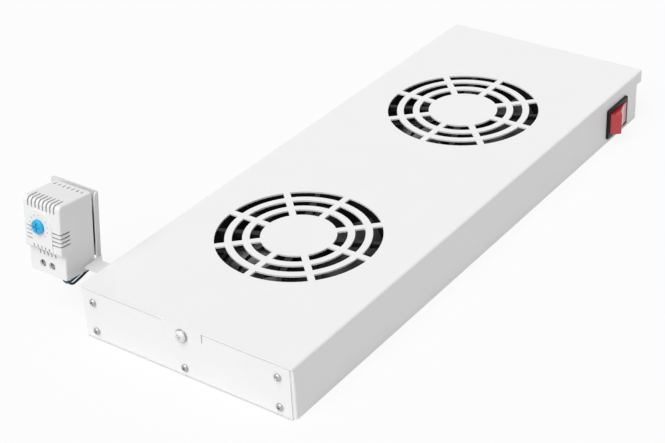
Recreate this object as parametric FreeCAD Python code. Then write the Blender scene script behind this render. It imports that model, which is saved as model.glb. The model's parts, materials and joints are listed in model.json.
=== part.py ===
import FreeCAD, Part
import math
import os

# Two-fan rack tray in folded sheet steel, with a rocker switch in one long side
# and a rail-mounted thermostat on a bracket at the other.
# Frame: origin at the middle of the underside, +X towards the switch side,
# +Y towards the end with the hooked lip, +Z up. Millimetres.

Vec = FreeCAD.Vector
X_AXIS = Vec(1, 0, 0)
Y_AXIS = Vec(0, 1, 0)
Z_AXIS = Vec(0, 0, 1)

# ---------------------------------------------------------------- tray body
tray_width = 172.0          # over the side walls
tray_length = 456.0         # over the outer faces of the two end panels
tray_height = 39.0
sheet = 1.2                 # steel sheet, every folded piece of the tray
bend_radius = 1.6           # outside radius of a fold
lip_reach = 6.4             # how far the cover runs on past the far panel
lip_drop = 10.0             # depth of the hooked lip
end_flange = 16.0           # cover's inward flanges at both ends
base_turn_up = 13.0         # height of the base plate's end flanges
base_side_turn_up = 10.0    # height of its side flanges
base_corner_relief = 1.5    # gap between its flanges at a corner
panel_gap = 0.5             # gap round an end panel
top_seam = 0.6              # gap between an end panel and the cover's sheet
seat_gap = 0.3              # gap between folded pieces that lie side by side

# Tab of the cover, bent down flush with the near panel
tab_width = 32.0
tab_drop = 14.0
tab_fit = 0.05              # the panel's notch round the tab
tab_relief_width = 0.8      # relief slit at the tab's right edge
tab_relief_depth = 8.0
tab_ear_width = 40.0        # base flange's ear behind the tab
tab_ear_margin = 2.5        # from the ear's top to the cover's underside

# Round grille over each fan
fan_from_end = 123.0        # from an end panel's outer face to the fan behind it
grille_disc_radius = 26.0
grille_slot = 7.0
grille_rib = 5.0
grille_rings = 3
grille_bridges = 8
grille_bridge_width = 4.75
intake_radius = 59.0        # plain opening in the base plate under a fan

# ---------------------------------------------------------------- fans
fan_size = 120.0
fan_depth = 25.0
fan_corner = 6.0
fan_hole_inset = 7.5        # from the fan's side to a corner hole
fan_hole_radius = 2.2
fan_flange = 3.6
duct_radius = 58.0
duct_wall = 1.6
motor_plate_radius = 20.5
motor_plate = 2.5
strut_width = 3.4
strut_count = 4
strut_depth = 3.4
hub_radius = 20.0
hub_wall = 1.5
hub_floor = 1.8
hub_start = 2.0             # from the intake face to the hub's closed face
hub_strut_gap = 1.2         # between the hub's rim and the struts
blade_count = 7
blade_tip_gap = 1.0
blade_thickness = 1.6
blade_root_chord = 20.0
blade_tip_chord = 36.0
blade_pitch = 31.0          # degrees from the plane of rotation
blade_camber = 3.2
shaft_radius = 1.5
shaft_boss_radius = 3.4
shaft_boss_height = 2.4
shaft_end_gap = 1.0         # between the shaft's end and the motor plate
bearing_clearance = 0.03
bearing_radius = 4.0
bearing_width = 3.0
bearing_inset = 1.0         # from each end of the bearing tube
bearing_tube_wall = 0.9
bearing_tube_length = 15.0
magnet_thickness = 1.5
magnet_height = 12.0
air_gap = 0.7               # between magnet and stator
stator_height = 7.0
stator_poles = 4
stator_arm = 4.0
stator_shoe = 2.6
coil_width = 8.0
board_thickness = 1.2
board_stand_off = 2.0

# Finger guards, studs and nuts under the fans
guard_wire = 1.6
guard_ring_radii = [57.0, 43.0, 29.0, 15.0]
guard_drop = 4.4            # from the fan's underside to the rings' middle
guard_eye_wall = 1.6
stud_radius = 2.0
stud_extra = 1.5            # thread showing past the nut
nut_flats = 7.0
nut_height = 3.2
eye_clearance = 0.1         # stud in a guard's eye or a nut

# ---------------------------------------------------------------- fixings
screw_radius = 1.45         # M3
screw_head_radius = 2.6
screw_head_height = 1.9
screw_length = 6.0
screw_clearance = 0.05
corner_screw_inset = 11.2   # from the tray's side to a corner screw
corner_screw_low = 6.6
corner_screw_high = 29.0
foot_screw_z = 6.4
tab_screw_radius = 2.0      # M4
tab_screw_head_radius = 4.0
tab_screw_head_height = 2.6
tab_screw_length = 10.0
tab_screw_drop = 7.6        # from the cover's top to the screw's axis
washer_radius = 4.6
washer_thickness = 0.8

# ---------------------------------------------------------------- rocker switch
switch_from_end = 37.0      # from the far panel's outer face to the switch's middle
switch_z = 16.2
bezel_length = 32.0
bezel_height = 24.5
bezel_thickness = 2.0
bezel_corner = 1.2
switch_body_length = 28.6
switch_body_height = 21.0
switch_body_depth = 24.0
switch_cutout_gap = 0.2
rocker_radius = 13.0
rocker_half_angle = 54.0    # from the rocker's middle to its top edges
rocker_dish = 1.5
rocker_height = 17.0
rocker_gap = 0.3
rocker_skirt = 2.0          # below the pivot
rocker_tilt = 18.0          # each way from level
rocker_pin_radius = 1.2
rocker_pin_length = 1.3
rocker_pin_clearance = 0.05
pivot_depth = 1.5           # pivot below the tray's side face
tab_blade_width = 6.3
tab_blade_thickness = 0.8
tab_blade_length = 8.0
tab_blade_pitch_y = 14.0
tab_blade_pitch_z = 9.0

# ---------------------------------------------------------------- thermostat
thermo_width = 32.5
thermo_height = 54.5
thermo_lean = 6.5           # degrees that the housing and its carrier lean back
thermo_wall = 1.6
thermo_front_inset = 0.6    # behind the near panel's outer face
thermo_cover_depth = 30.0
thermo_bottom_z = 30.5
thermo_step = 3.4           # the lower front stands back by this much
thermo_step_low = 15.5      # above the bottom
thermo_step_high = 20.5
thermo_edge = 3.0           # radius of the top front edge
thermo_side_edge = 1.2
thermo_fit = 0.3            # base slab inside the cover
dial_from_left = 13.9
dial_height = 36.0          # above the housing's bottom
dial_radius = 4.9
dial_thickness = 2.0
dial_shaft_radius = 2.0
dial_shaft_length = 14.0
dial_clearance = 0.05
dial_lift = 0.3             # between the dial and the pad round it
dial_slot_width = 1.2
dial_slot_depth = 0.9
dial_collar_radius = 3.4
dial_collar_length = 1.8
pad_radius = 11.5
pad_drop = 16.0             # straight part of the pad below the dial's axis
pad_thickness = 0.5
vent_width = 1.3
top_vents = 8
top_vent_pitch = 3.3
top_vent_back = 9.5
top_vent_front = 6.5
rear_vents = 7
rear_vent_pitch = 4.0
rear_vent_length = 3.5
rear_vent_inset = 2.0
side_vents = 4
side_vent_pitch = 2.9
side_vent_low = 25.5        # above the bottom
side_vent_front = 7.5
side_vent_back = 9.0
slope_vents = 5
slope_vent_pitch = 3.4
slope_vent_length = 8.5
terminal_hole_radius = 2.8
terminal_pitch = 8.3
terminal_from_left = 11.7
terminal_height = 6.8
terminal_block_width = 19.0
terminal_block_height = 13.0
terminal_head_radius = 2.3
terminal_head_length = 1.6
terminal_shank_radius = 1.4
wire_slot_width = 3.4
strip_rise = 9.0            # of the bimetal strip's foot

# Rail, foot and bracket behind the thermostat
rail_width = 35.0
rail_web = 27.0
rail_depth = 7.5
rail_sheet = 1.0
rail_play = 0.2
foot_slab = 3.1
foot_hook = 2.7
foot_hook_width = 20.0
bracket_reach = 13.3        # from the side wall to the carrier's upright flange
bracket_width = 42.5        # the carrier, over its upright flange
bracket_flange = 4.6        # depth of the upright flange
bracket_top_drop = 1.0      # the carrier's top edge, below the housing's
bracket_low = 36.0
bracket_corner = 3.0
bracket_side_gap = 0.2      # between housing and upright flange, sideways
bracket_back_gap = 1.3      # and from the housing's back to the flange's front edge
tongue_width = 12.0
tongue_back = 5.2           # from the carrier's back to the tongue's far edge
wall_leg_drop = 23.0
rivet_radius = 1.6
rivet_head_radius = 2.8
rivet_head_height = 1.0
rivet_pitch = 19.0
bracket_screw_pitch = 11.0
bracket_screw_low = 6.0     # above the end of the wall leg
m3_nut_flats = 5.5
m3_nut_height = 2.4

# ---------------------------------------------------------------- wiring
grommet_from_tongue = 10.6
grommet_z = 22.0
grommet_hole_radius = 5.0
grommet_bore_radius = 3.0
grommet_flange_radius = 6.6
grommet_flange = 1.4
cord_grommet_x = -48.0
cord_grommet_z = 22.5
cord_grommet_hole_radius = 6.0
cord_grommet_bore_radius = 3.5
cord_grommet_flange_radius = 7.6
block_length = 60.0
block_width = 13.0
block_height = 14.0
block_from_side = 14.5      # from the tray's side to the terminal block's middle
block_from_end = 100.0      # from the near panel's outer face to it
block_ways = 6
block_screw_radius = 1.8
block_way_depth = 4.0
wire_diameter = 1.8

# ---------------------------------------------------------------- worked out
half_w = tray_width / 2
half_l = tray_length / 2
near_y = -half_l
wall_near = -half_l + sheet
wall_far = half_l - sheet
fan_y = [("near", -half_l + fan_from_end), ("far", half_l - fan_from_end)]
fan_top = tray_height - sheet
fan_bottom = fan_top - fan_depth
fan_hole_spacing = fan_size - 2 * fan_hole_inset
switch_y = half_l - switch_from_end
corner_screw_x = half_w - corner_screw_inset
block_x = -half_w + block_from_side
block_y = -half_l + block_from_end
bracket_x = -half_w - bracket_reach
bracket_left = bracket_x - bracket_width
thermo_front_y = near_y + thermo_front_inset
thermo_right = bracket_x - sheet - bracket_side_gap
thermo_left = thermo_right - thermo_width
thermo_back_y = thermo_front_y + thermo_cover_depth
thermo_top_z = thermo_bottom_z + thermo_height
rail_z = (thermo_bottom_z + thermo_top_z) / 2
bracket_top = thermo_top_z - bracket_top_drop
flange_front_y = thermo_back_y + bracket_back_gap
plate_back_y = flange_front_y + bracket_flange
tongue_far = plate_back_y - tongue_back
tongue_near = tongue_far - tongue_width
grommet_y = tongue_far + grommet_from_tongue
plate_front_y = plate_back_y - sheet
rail_front_y = plate_front_y - rail_depth
foot_back_y = rail_front_y - rail_play
foot_front_y = foot_back_y - foot_slab
dial_x = thermo_left + dial_from_left
dial_z = thermo_bottom_z + dial_height
switch_face = half_w + bezel_thickness
pivot_x = half_w - pivot_depth


# ---------------------------------------------------------------- helpers
def block(x0, x1, y0, y1, z0, z1):
    return Part.makeBox(x1 - x0, y1 - y0, z1 - z0, Vec(x0, y0, z0))


def rod(x, y, z, radius, length, axis=Z_AXIS):
    return Part.makeCylinder(radius, length, Vec(x, y, z), axis)


def tube(x, y, z, inner, outer, length, axis=Z_AXIS):
    return rod(x, y, z, outer, length, axis).cut(rod(x, y, z, inner, length, axis))


def prism(points, direction):
    wire = Part.makePolygon([Vec(*p) for p in points] + [Vec(*points[0])])
    return Part.Face(wire).extrude(direction)


def join(shapes):
    first = shapes[0]
    if len(shapes) == 1:
        return first
    return first.multiFuse(shapes[1:]).removeSplitter()


def edges_along(shape, axis, test):
    chosen = []
    for edge in shape.Edges:
        if edge.Curve.TypeId != "Part::GeomLine":
            continue
        start = edge.Vertexes[0].Point
        end = edge.Vertexes[-1].Point
        run = end - start
        if run.Length > 1e-6 and abs(run.normalize().dot(axis)) > 0.999:
            if test((start + end) * 0.5):
                chosen.append(edge)
    return chosen


def rounded_block(x0, x1, y0, y1, z0, z1, radius, axis):
    shape = block(x0, x1, y0, y1, z0, z1)
    return shape.makeFillet(radius, edges_along(shape, axis, lambda p: True))


def polar(radius, angle, z=0.0):
    turn = math.radians(angle)
    return Vec(radius * math.cos(turn), radius * math.sin(turn), z)


def moved(shape, x, y, z):
    copy = shape.copy()
    copy.translate(Vec(x, y, z))
    return copy


def leaned(shape):
    """Tips a piece of the thermostat back about the carrier's lower back edge."""
    copy = shape.copy()
    copy.rotate(Vec(0, plate_back_y, bracket_low), X_AXIS, -thermo_lean)
    return copy


def save(name, shapes):
    solids = []
    for shape in shapes:
        solids += shape.Solids
    Part.Compound(solids).exportStep("parts/" + name + ".step")
    print(name, len(solids), "solids", round(sum(s.Volume for s in solids), 1), "mm3")


def pan_screw(head_radius, head_height, radius, length):
    """Pan head with its seat at z = 0, the shank pointing down."""
    rim = head_height * 0.5
    head = rod(0, 0, 0, head_radius, rim)
    crown = Part.makeCone(head_radius, head_radius * 0.6, head_height - rim, Vec(0, 0, rim))
    return join([head, crown, rod(0, 0, -length, radius, length)])


def stand(shape, point, axis):
    """Turns a piece that was built along +Z to point along axis, at point."""
    copy = shape.copy()
    copy.Placement = FreeCAD.Placement(point, FreeCAD.Rotation(Z_AXIS, axis))
    return copy


def hex_nut(flats, height, bore):
    corner = flats / math.sqrt(3)
    points = [tuple(polar(corner, 60 * i)) for i in range(6)]
    return prism(points, Vec(0, 0, height)).cut(rod(0, 0, 0, bore, height))


def cord(name, points, diameter):
    """Round wire along straight runs joined by tangent arcs, as large as the runs allow."""
    route = [Vec(*p) for p in points]
    runs = [(b - a).Length for a, b in zip(route, route[1:])]
    radii = []
    pieces = []
    length = 0.0
    start = route[0]
    for i in range(1, len(route) - 1):
        before = (route[i - 1] - route[i]).normalize()
        after = (route[i + 1] - route[i]).normalize()
        turn = math.pi - before.getAngle(after)
        trim = 0.45 * min(runs[i - 1], runs[i])
        radius = trim / math.tan(turn / 2)
        radii.append(round(radius, 1))
        enter = route[i] + before * trim
        inward = (before + after).normalize()
        centre = route[i] + inward * (radius / math.cos(turn / 2))
        pieces.append(straight_wire(start, enter, diameter))
        section = Part.Face(Part.Wire(Part.Circle(enter, before, diameter / 2).toShape()))
        pieces.append(section.revolve(centre, after.cross(before), math.degrees(turn)))
        length += (enter - start).Length + radius * turn
        start = route[i] + after * trim
    pieces.append(straight_wire(start, route[-1], diameter))
    length += (route[-1] - start).Length
    solid = join(pieces)
    expected = math.pi * diameter ** 2 / 4 * length
    print(name, "length", round(length, 1), "radii", radii, "runs", [round(r, 1) for r in runs],
          "volume ratio", round(solid.Volume / expected, 4))
    return solid


def straight_wire(start, end, diameter):
    run = end - start
    return Part.makeCylinder(diameter / 2, run.Length, start, run)


# ---------------------------------------------------------------- sheet metal
def grille_slots():
    """One fan's slots, around the origin, cut through the cover's sheet."""
    half = grille_bridge_width / 2
    span = 360.0 / grille_bridges
    slots = []
    for ring in range(grille_rings):
        inner = grille_disc_radius + ring * (grille_slot + grille_rib)
        outer = inner + grille_slot
        inner_turn = math.degrees(math.asin(half / inner))
        outer_turn = math.degrees(math.asin(half / outer))
        low = [polar(inner, inner_turn), polar(inner, span / 2), polar(inner, span - inner_turn)]
        high = [polar(outer, span - outer_turn), polar(outer, span / 2), polar(outer, outer_turn)]
        outline = Part.Wire([
            Part.Arc(*low).toShape(),
            Part.LineSegment(low[2], high[0]).toShape(),
            Part.Arc(*high).toShape(),
            Part.LineSegment(high[2], low[0]).toShape(),
        ])
        slot = Part.Face(outline).extrude(Vec(0, 0, 3 * sheet))
        for i in range(grille_bridges):
            copy = slot.copy()
            copy.rotate(Vec(0, 0, 0), Z_AXIS, i * span)
            slots.append(copy)
    return slots


def corner_screw_places():
    return [(side * corner_screw_x, z) for side in (-1, 1)
            for z in (corner_screw_low, corner_screw_high)]


def top_cover():
    body = block(-half_w, half_w, wall_near, wall_far, 0, tray_height)
    folds = edges_along(body, Y_AXIS, lambda p: p.z > tray_height - 0.1)
    folds += edges_along(body, Z_AXIS, lambda p: True)
    body = body.makeFillet(bend_radius, folds)

    lip = block(-half_w, half_w, wall_far - end_flange, half_l + lip_reach,
                tray_height - lip_drop, tray_height)
    far_end = half_l + lip_reach
    folds = edges_along(lip, Y_AXIS, lambda p: p.z > tray_height - 0.1)
    folds += edges_along(lip, Z_AXIS, lambda p: p.y > far_end - 0.1)
    folds += edges_along(lip, X_AXIS, lambda p: p.y > far_end - 0.1 and p.z > tray_height - 0.1)
    lip = lip.makeFillet(bend_radius, folds)

    nose = block(-half_w, half_w, near_y, wall_near + end_flange, tray_height - lip_drop, tray_height)
    nose = nose.makeFillet(bend_radius, edges_along(nose, Y_AXIS, lambda p: p.z > tray_height - 0.1))
    nose = nose.cut(block(-half_w, half_w, near_y, wall_near, 0, tray_height - sheet))

    cover = join([body, lip, nose])
    inside = half_w - sheet
    cover = cover.cut(block(-inside, inside, wall_near + sheet, wall_far - sheet,
                            sheet, tray_height - sheet))
    throat = half_w - end_flange
    cover = cover.cut(block(-throat, throat, wall_near - 1, wall_far + 1,
                            0, tray_height - sheet))
    cover = cover.cut(block(-inside, inside, wall_near + sheet, wall_far - sheet, -1, sheet + 1))
    cover = cover.cut(block(-inside, inside, wall_far, half_l + lip_reach - sheet,
                            0, tray_height - sheet))

    tab = block(-tab_width / 2, tab_width / 2, near_y, near_y + sheet,
                tray_height - tab_drop, tray_height)
    cover = join([cover, tab])

    cuts = []
    for _, y in fan_y:
        cuts += [moved(slot, 0, y, tray_height - 2 * sheet) for slot in grille_slots()]
    for x, z in corner_screw_places():
        cuts.append(rod(x, wall_near - 1, z, screw_radius + screw_clearance, sheet + 2, Y_AXIS))
        cuts.append(rod(x, wall_far - sheet - 1, z, screw_radius + screw_clearance,
                        sheet + 2, Y_AXIS))
    cuts.append(rod(0, near_y - 1, tray_height - tab_screw_drop,
                    tab_screw_radius + screw_clearance, sheet + 2, Y_AXIS))
    hole_y = switch_body_length / 2 + switch_cutout_gap
    hole_z = switch_body_height / 2 + switch_cutout_gap
    cuts.append(block(half_w - 2 * sheet, half_w + 1, switch_y - hole_y, switch_y + hole_y,
                      switch_z - hole_z, switch_z + hole_z))
    cuts.append(rod(-half_w - 1, grommet_y, grommet_z, grommet_hole_radius, sheet + 2, X_AXIS))
    for y, z in bracket_screw_places():
        cuts.append(rod(-half_w - 1, y, z, screw_radius + screw_clearance, sheet + 2, X_AXIS))
    return cover.cut(Part.Compound(cuts))


def base_plate():
    """Shallow pan that slides in between the cover's walls, its flanges turned up."""
    side = half_w - sheet - seat_gap
    end = half_l - 2 * sheet
    deep = tray_height - sheet - tab_ear_margin
    pan = block(-side, side, -end, end, 0, deep)
    pan = pan.makeFillet(bend_radius, edges_along(pan, X_AXIS, lambda p: p.z < 0.1)
                         + edges_along(pan, Y_AXIS, lambda p: p.z < 0.1))
    inner_side = side - sheet
    inner_end = end - sheet
    pan = pan.cut(block(-inner_side, inner_side, -inner_end, inner_end, sheet, deep + 1))
    cuts = []
    for sx in (-1, 1):
        x0, x1 = sorted((sx * inner_side, sx * (side + 1)))
        cuts.append(block(x0, x1, -end - 1, end + 1, base_side_turn_up, deep + 1))
        relief_x0, relief_x1 = sorted((sx * (inner_side - base_corner_relief), sx * (side + 1)))
        for sy in (-1, 1):
            y0, y1 = sorted((sy * (inner_end - base_corner_relief), sy * (end + 1)))
            cuts.append(block(relief_x0, relief_x1, y0, y1, -1, deep + 1))
    ear = tab_ear_width / 2
    for x0, x1 in ((-side - 1, -ear), (ear, side + 1)):
        cuts.append(block(x0, x1, -end - 1, -inner_end, base_turn_up, deep + 1))
    cuts.append(block(-side - 1, side + 1, inner_end, end + 1, base_turn_up, deep + 1))
    gap = bezel_length / 2 + seat_gap
    cuts.append(block(inner_side - 1, side + 1, switch_y - gap, switch_y + gap, sheet, deep))
    cuts += [rod(0, y, -1, intake_radius, sheet + 2) for _, y in fan_y]
    places = [(x, corner_screw_low) for x in (-corner_screw_x, corner_screw_x)] + [(0, foot_screw_z)]
    for y in (-end - 1, inner_end - 1):
        cuts += [rod(x, y, z, screw_radius + screw_clearance, sheet + 2, Y_AXIS) for x, z in places]
    cuts.append(rod(0, -end - 1, tray_height - tab_screw_drop,
                    tab_screw_radius + screw_clearance, sheet + 2, Y_AXIS))
    return pan.cut(Part.Compound(cuts))


def end_panel(outer_y):
    side = half_w - bend_radius - panel_gap
    y0 = min(outer_y, outer_y - math.copysign(sheet, outer_y))
    panel = block(-side, side, y0, y0 + sheet, panel_gap, tray_height - sheet - top_seam)
    cuts = []
    for x, z in corner_screw_places():
        cuts.append(rod(x, y0 - 1, z, screw_radius + screw_clearance, sheet + 2, Y_AXIS))
    cuts.append(rod(0, y0 - 1, foot_screw_z, screw_radius + screw_clearance, sheet + 2, Y_AXIS))
    if outer_y < 0:
        left = -tab_width / 2 - tab_fit
        right = tab_width / 2 + tab_fit
        notch = tray_height - tab_drop - tab_fit
        cuts.append(block(left, right, y0 - 1, y0 + sheet + 1, notch, tray_height))
        cuts.append(block(right - 0.5, tab_width / 2 + tab_relief_width, y0 - 1, y0 + sheet + 1,
                          tray_height - tab_relief_depth, tray_height))
    else:
        cuts.append(rod(cord_grommet_x, y0 - 1, cord_grommet_z, cord_grommet_hole_radius,
                        sheet + 2, Y_AXIS))
    return panel.cut(Part.Compound(cuts))


# ---------------------------------------------------------------- fixings
def panel_screws(outer_y):
    out = Vec(0, math.copysign(1, outer_y), 0)
    screw = pan_screw(screw_head_radius, screw_head_height, screw_radius, screw_length)
    places = corner_screw_places() + [(0, foot_screw_z)]
    return [stand(screw, Vec(x, outer_y, z), out) for x, z in places]


def tab_fixing():
    z = tray_height - tab_screw_drop
    out = Vec(0, -1, 0)
    washer = tube(0, 0, 0, tab_screw_radius + screw_clearance, washer_radius, washer_thickness)
    screw = pan_screw(tab_screw_head_radius, tab_screw_head_height, tab_screw_radius, tab_screw_length)
    nut = hex_nut(nut_flats, nut_height, tab_screw_radius + eye_clearance)
    nut_y = near_y + 3 * sheet + nut_height
    return (stand(screw, Vec(0, near_y - washer_thickness, z), out),
            stand(washer, Vec(0, near_y, z), out),
            stand(nut, Vec(0, nut_y, z), out))


def fan_stud_places(y):
    half = fan_hole_spacing / 2
    return [(sx * half, y + sy * half) for sx in (-1, 1) for sy in (-1, 1)]


def fan_studs():
    length = fan_depth + guard_wire + nut_height + stud_extra
    return [rod(x, sy, fan_top - length, stud_radius, length)
            for _, y in fan_y for x, sy in fan_stud_places(y)]


def fan_nuts():
    nut = hex_nut(nut_flats, nut_height, stud_radius + eye_clearance)
    z = fan_bottom - guard_wire - nut_height
    return [moved(nut, x, sy, z) for _, y in fan_y for x, sy in fan_stud_places(y)]


# ---------------------------------------------------------------- fans
# Each fan piece is built around the origin, with its intake face at z = 0.
def fan_frame():
    plates = []
    for z in (0, fan_depth - fan_flange):
        half = fan_size / 2
        plates.append(rounded_block(-half, half, -half, half, z, z + fan_flange, fan_corner, Z_AXIS))
    barrel = rod(0, 0, 0, duct_radius + duct_wall, fan_depth)
    frame = join([barrel] + plates).cut(rod(0, 0, -1, duct_radius, fan_depth + 2))
    plate_low = fan_depth - motor_plate
    pieces = [frame, rod(0, 0, plate_low, motor_plate_radius, motor_plate)]
    strut_low = fan_depth - strut_depth
    for i in range(strut_count):
        strut = prism([(motor_plate_radius - 1.5, -strut_width / 2 - 1, strut_low),
                       (duct_radius + duct_wall / 2, -strut_width / 2, strut_low),
                       (duct_radius + duct_wall / 2, strut_width / 2, strut_low),
                       (motor_plate_radius - 1.5, strut_width / 2 + 1, strut_low)],
                      Vec(0, 0, strut_depth))
        strut.rotate(Vec(0, 0, 0), Z_AXIS, 22.5 + i * 360.0 / strut_count)
        pieces.append(strut)
    tube_outer = bearing_radius + bearing_tube_wall
    pieces.append(rod(0, 0, plate_low - bearing_tube_length, tube_outer, bearing_tube_length))
    frame = join(pieces)
    half = fan_hole_spacing / 2
    holes = [rod(sx * half, sy * half, -1, fan_hole_radius, fan_depth + 2)
             for sx in (-1, 1) for sy in (-1, 1)]
    holes.append(rod(0, 0, plate_low - bearing_tube_length - 1, bearing_radius,
                     bearing_tube_length + 1))
    return frame.cut(Part.Compound(holes))


def blade():
    """Cambered plate from the hub to the tip, wider towards the tip, pitched about its length."""
    tip = duct_radius - blade_tip_gap
    root = hub_radius - hub_wall * 0.6
    half = blade_tip_chord / 2
    edge = blade_thickness * 0.3
    crown = blade_camber / 2
    belly = crown - blade_thickness
    outline = Part.Wire([
        Part.Arc(Vec(0, -half, edge - crown), Vec(0, 0, crown), Vec(0, half, edge - crown)).toShape(),
        Part.LineSegment(Vec(0, half, edge - crown), Vec(0, half, -crown)).toShape(),
        Part.Arc(Vec(0, half, -crown), Vec(0, 0, belly), Vec(0, -half, -crown)).toShape(),
        Part.LineSegment(Vec(0, -half, -crown), Vec(0, -half, edge - crown)).toShape(),
    ])
    plate = Part.Face(outline).extrude(Vec(tip + 2, 0, 0))
    narrow = blade_root_chord / 2
    plan = prism([(root - 4, -narrow, -9), (tip + 2, -half * 0.86, -9), (tip + 2, half, -9),
                  (root - 4, narrow, -9)], Vec(0, 0, 18))
    plate = plate.common(plan)
    plate.rotate(Vec(0, 0, 0), X_AXIS, blade_pitch)
    return plate


def impeller():
    rim = fan_depth - strut_depth - hub_strut_gap
    hub = rod(0, 0, hub_start, hub_radius, rim - hub_start)
    hub = hub.makeChamfer(1.0, [e for e in hub.Edges if e.BoundBox.ZMax < hub_start + 0.01])
    inner = hub_radius - hub_wall
    floor = hub_start + hub_floor
    hub = hub.cut(rod(0, 0, floor, inner, fan_depth))
    hub = join([hub, rod(0, 0, floor - 0.2, shaft_boss_radius, shaft_boss_height + 0.2)])
    tip = duct_radius - blade_tip_gap
    middle = (hub_start + rim) / 2
    limit = tube(0, 0, hub_start, hub_radius - hub_wall * 0.6, tip, rim - hub_start)
    first = moved(blade(), 0, 0, middle).common(limit)
    blades = []
    for i in range(blade_count):
        copy = first.copy()
        copy.rotate(Vec(0, 0, 0), Z_AXIS, i * 360.0 / blade_count)
        blades.append(copy)
    wheel = join([hub] + blades)
    return wheel.cut(rod(0, 0, hub_start + 0.6, shaft_radius, fan_depth))


def fan_shaft():
    low = hub_start + 0.6
    high = fan_depth - motor_plate - shaft_end_gap
    return rod(0, 0, low, shaft_radius, high - low)


def fan_bearings():
    low = fan_depth - motor_plate - bearing_tube_length + bearing_inset
    high = fan_depth - motor_plate - bearing_inset - bearing_width
    bore = shaft_radius + bearing_clearance
    return [tube(0, 0, z, bore, bearing_radius, bearing_width) for z in (low, high)]


def magnet_ring():
    outer = hub_radius - hub_wall
    return tube(0, 0, hub_start + hub_floor, outer - magnet_thickness, outer, magnet_height)


def stator():
    tube_outer = bearing_radius + bearing_tube_wall
    low = fan_depth - motor_plate - bearing_tube_length + 2.5
    shoe_outer = hub_radius - hub_wall - magnet_thickness - air_gap
    shoe_inner = shoe_outer - stator_shoe
    pieces = [tube(0, 0, low, tube_outer, tube_outer + 2.2, stator_height)]
    shoe_ring = tube(0, 0, low, shoe_inner, shoe_outer, stator_height)
    for i in range(stator_poles):
        turn = 45 + i * 360.0 / stator_poles
        arm = block(tube_outer + 1, shoe_outer - 1, -stator_arm / 2, stator_arm / 2,
                    low, low + stator_height)
        coil = block(tube_outer + 2.6, shoe_inner - 0.2, -coil_width / 2, coil_width / 2,
                     low - 1, low + stator_height + 1)
        wedge = prism([(0, 0, low), (shoe_outer * 2, -shoe_outer * 1.4, low),
                       (shoe_outer * 2, shoe_outer * 1.4, low)], Vec(0, 0, stator_height))
        for piece in (arm, coil, shoe_ring.common(wedge)):
            piece.rotate(Vec(0, 0, 0), Z_AXIS, turn)
            pieces.append(piece)
    return join(pieces)


def circuit_board():
    tube_outer = bearing_radius + bearing_tube_wall
    low = fan_depth - motor_plate - bearing_tube_length + 2.5 + stator_height + 1
    outer = hub_radius - hub_wall - magnet_thickness - air_gap
    board = tube(0, 0, low + board_stand_off, tube_outer + 0.3, outer, board_thickness)
    legs = [moved(block(-1.2, 1.2, -1.2, 1.2, low, low + board_stand_off), *tuple(polar(10, a)))
            for a in (45, 135, 225, 315)]
    return join([board] + legs)


def finger_guard():
    """Concentric wire rings on four spokes that rise to an eye round each stud."""
    r = guard_wire / 2
    ring_z = -guard_drop
    pieces = []
    for radius in guard_ring_radii:
        section = Part.Wire(Part.makePolygon([
            Vec(radius - r, 0, ring_z - r), Vec(radius + r, 0, ring_z - r),
            Vec(radius + r, 0, ring_z + r), Vec(radius - r, 0, ring_z + r),
            Vec(radius - r, 0, ring_z - r)]))
        pieces.append(Part.Face(section).revolve(Vec(0, 0, 0), Z_AXIS, 360))
    stud = fan_hole_spacing / math.sqrt(2)
    eye_inner = stud_radius + eye_clearance
    eye_outer = eye_inner + guard_eye_wall
    risen = stud - nut_flats / math.sqrt(3) - 0.6
    for i in range(4):
        outer = max(guard_ring_radii)
        inner = min(guard_ring_radii)
        low = ring_z + r * 0.4
        spoke = prism([(inner - r, -r, low), (outer, -r, low), (risen, -r, -guard_wire),
                       (stud - eye_inner - r, -r, -guard_wire), (stud - eye_inner - r, -r, 0),
                       (risen, -r, 0), (outer - 0.6, -r, low + guard_wire),
                       (inner - r, -r, low + guard_wire)], Vec(0, guard_wire, 0))
        eye = rod(stud, 0, -guard_wire, eye_outer, guard_wire)
        arm = spoke.fuse(eye).cut(rod(stud, 0, -guard_wire - 1, eye_inner, guard_wire + 2))
        arm.rotate(Vec(0, 0, 0), Z_AXIS, 45 + 90 * i)
        pieces.append(arm)
    return join(pieces)


# ---------------------------------------------------------------- rocker switch
def switch_body():
    half_y = bezel_length / 2
    half_z = bezel_height / 2
    bezel = rounded_block(half_w, switch_face, switch_y - half_y, switch_y + half_y,
                          switch_z - half_z, switch_z + half_z, bezel_corner, X_AXIS)
    face = [e for e in bezel.Edges if e.BoundBox.XMin > switch_face - 0.01]
    bezel = bezel.makeChamfer(0.5, face)
    half_y = switch_body_length / 2
    half_z = switch_body_height / 2
    body = block(half_w - switch_body_depth, half_w, switch_y - half_y, switch_y + half_y,
                 switch_z - half_z, switch_z + half_z)
    shape = join([bezel, body])
    window = rocker_height / 2 + rocker_gap
    well = rod(pivot_x, switch_y, switch_z - window, rocker_radius + rocker_gap, 2 * window)
    shape = shape.cut(well)
    pin = rocker_pin_radius + rocker_pin_clearance
    reach = rocker_height / 2 + rocker_pin_length + rocker_gap
    return shape.cut(rod(pivot_x, switch_y, switch_z - reach, pin, 2 * reach))


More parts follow.
